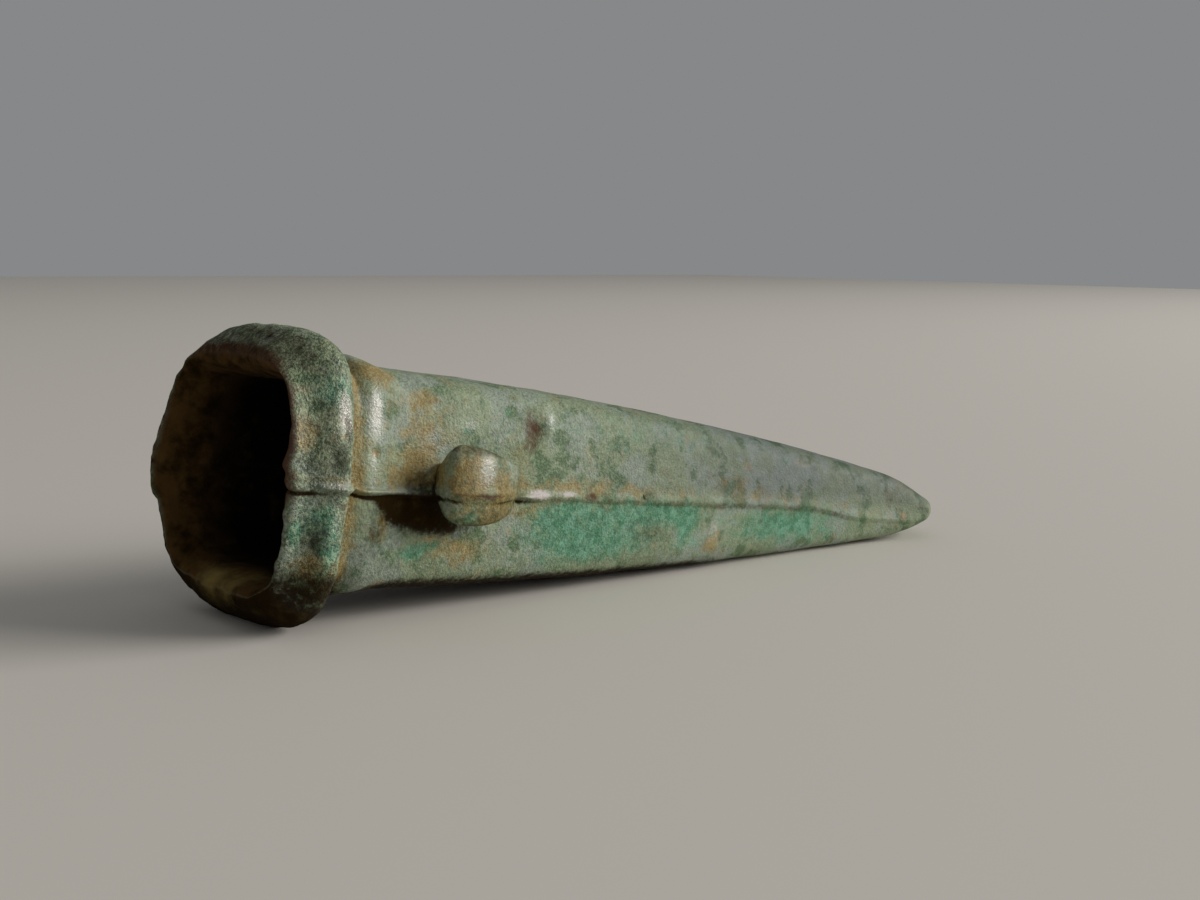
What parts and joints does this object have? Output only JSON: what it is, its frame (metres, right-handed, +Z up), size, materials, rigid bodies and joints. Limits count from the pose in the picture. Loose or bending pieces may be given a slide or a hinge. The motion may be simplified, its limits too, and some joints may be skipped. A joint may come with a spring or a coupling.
{
  "type": "socketed bronze axe head",
  "caption": "Hollow cast bronze axe head with a square socket, thick collar, side loop, mould seams and a curved cutting edge, lying on one broad face.",
  "frame": {"origin": "bottom centre of the lying axe head, on the surface that it rests on", "axes": "+X from the socket mouth to the cutting edge, -Y to the flank with the loop, +Z up through the thickness"},
  "size_m": [0.133, 0.0396, 0.0385],
  "materials": {
    "patinated_bronze": "corroded green and brown patina with a slight waxy gloss"
  },
  "bodies": {
    "root": {"axe_head": "patinated_bronze"}
  },
  "joints": []
}
